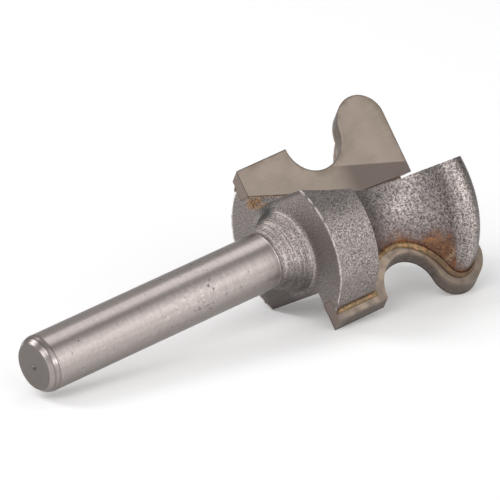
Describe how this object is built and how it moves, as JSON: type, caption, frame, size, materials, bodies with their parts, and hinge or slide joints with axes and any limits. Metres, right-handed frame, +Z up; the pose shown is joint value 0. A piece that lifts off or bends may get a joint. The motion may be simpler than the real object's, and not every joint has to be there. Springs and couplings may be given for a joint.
{
  "type": "router bit",
  "caption": "Router bit with brazed carbide tips on a turned steel body with a straight, cove and bead cutting profile and a plain round shank.",
  "frame": {"origin": "centre of the bounding box's base, on the floor the bit lies on", "axes": "+Z up from the floor; +X along the bit as seen from above, from the shank's end towards the cutting end; the bit's own axis rises about 7 degrees towards +X"},
  "size_m": [0.0566, 0.0222, 0.02],
  "materials": {
    "steel": "ground shank, blasted grey head",
    "carbide": "ground satin",
    "braze": "as cast, dull"
  },
  "bodies": {
    "root": {"steel_body": "steel", "carbide_tip_1": "carbide", "carbide_tip_2": "carbide", "braze_joint_1": "braze", "braze_joint_2": "braze"}
  },
  "joints": []
}
